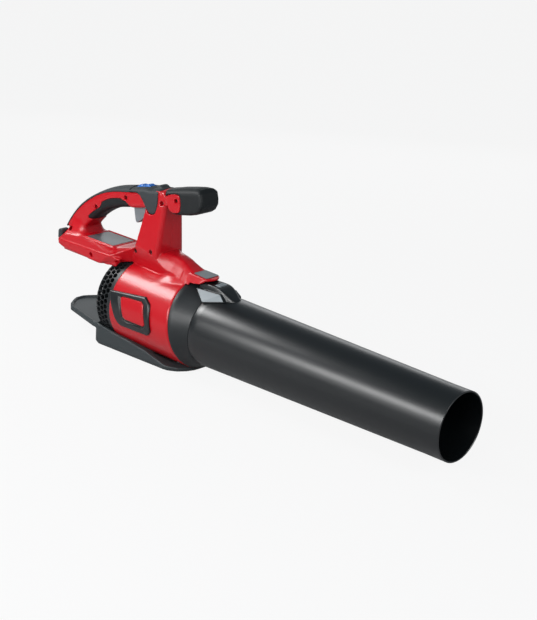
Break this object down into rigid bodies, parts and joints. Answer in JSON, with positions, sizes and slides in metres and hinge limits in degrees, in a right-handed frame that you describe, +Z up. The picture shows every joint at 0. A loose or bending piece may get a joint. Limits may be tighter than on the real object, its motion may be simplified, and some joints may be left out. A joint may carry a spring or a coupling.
{
  "type": "handheld leaf blower",
  "caption": "Handheld cordless axial leaf blower: tapered tube on a red fan barrel, arched rear handle with trigger and boost button, forward knob, battery rails and standing base plate.",
  "frame": {"origin": "centre of the base plate's underside, on the ground below the fan barrel", "axes": "+X forward along the blower tube towards the outlet, +Y to the operator's left, +Z up"},
  "size_m": [0.7196, 0.1312, 0.262],
  "materials": {
    "red_plastic": "glossy moulded red plastic",
    "soft_overmould": "matt soft overmould, dark grey",
    "black_rubber": "matt black soft grip",
    "tube_plastic": "satin black moulded plastic",
    "base_plastic": "satin mid grey moulded plastic",
    "grille_plastic": "satin black honeycomb",
    "pale_plastic": "satin light grey plastic",
    "blue_plastic": "glossy blue plastic",
    "label_grey": "blank printed label film, grey",
    "inner_black": "plain black moulded plastic",
    "steel": "bright steel",
    "magnet": "dark coated magnet",
    "copper": "bare copper",
    "board_green": "green lacquered circuit board",
    "aluminium": "plain extruded aluminium",
    "lead_red": "red cable insulation",
    "lead_black": "black cable insulation"
  },
  "bodies": {
    "housing": {"right_shell": "red_plastic", "left_shell": "red_plastic", "handle_spine": "soft_overmould", "switch_collar": "soft_overmould", "grip_insert": "black_rubber", "knob_grip": "black_rubber", "trigger_pin": "steel", "trigger_spring": "steel", "trigger_switch": "inner_black", "turbo_switch": "inner_black", "latch_springs": "steel", "terminal_block": "inner_black", "terminal_blades": "copper", "power_leads": "lead_red", "controller_board": "board_green", "heat_sink": "aluminium", "motor_leads": "lead_black", "intake_grille": "grille_plastic", "base_plate": "base_plastic", "base_screws": "steel", "badge_frames": "tube_plastic", "badge_panels": "red_plastic", "deck_label": "label_grey", "nose_decal": "label_grey", "front_collar": "tube_plastic", "fan_duct": "inner_black", "motor_stator": "steel", "motor_windings": "copper", "front_bearing": "steel", "rear_bearing": "steel", "tail_cone": "inner_black", "housing_screws": "steel"},
    "fan": {"rotor_shaft": "steel", "rotor_magnet": "magnet", "impeller": "inner_black", "impeller_nut": "steel"},
    "trigger": {"trigger": "pale_plastic"},
    "turbo_button": {"turbo_button": "blue_plastic"},
    "battery_latch": {"battery_latch": "soft_overmould"},
    "tube": {"blower_tube": "tube_plastic", "release_spring": "steel"},
    "tube_button": {"tube_release_button": "pale_plastic"}
  },
  "joints": [
    {"name": "fan_spin", "type": "hinge", "parent": "housing", "child": "fan", "pos_m": [0, 0, 0.065], "axis": [1, 0, 0], "continuous": true},
    {"name": "trigger_pull", "type": "hinge", "parent": "housing", "child": "trigger", "pos_m": [-0.04192, 0, 0.21145], "axis": [0, 1, 0], "range_deg": [0, 12], "stiffness_Nm_per_rad": 0.5, "springref_deg": -5.73, "deforming": ["trigger_spring"]},
    {"name": "turbo_press", "type": "slide", "parent": "housing", "child": "turbo_button", "axis": [0.225, 0, -0.9744], "range_m": [0, 0.002], "stiffness_N_per_m": 600, "springref_m": -0.001},
    {"name": "battery_latch_lift", "type": "slide", "parent": "housing", "child": "battery_latch", "axis": [0, 0, 1], "range_m": [0, 0.004], "stiffness_N_per_m": 900, "springref_m": -0.001, "deforming": ["latch_springs"]},
    {"name": "tube_pull", "type": "slide", "parent": "housing", "child": "tube", "axis": [1, 0, 0], "range_m": [0, 0.045]},
    {"name": "tube_release", "type": "slide", "parent": "tube", "child": "tube_button", "axis": [0, 0, -1], "range_m": [0, 0.0025], "stiffness_N_per_m": 500, "springref_m": -0.001, "deforming": ["release_spring"]}
  ]
}
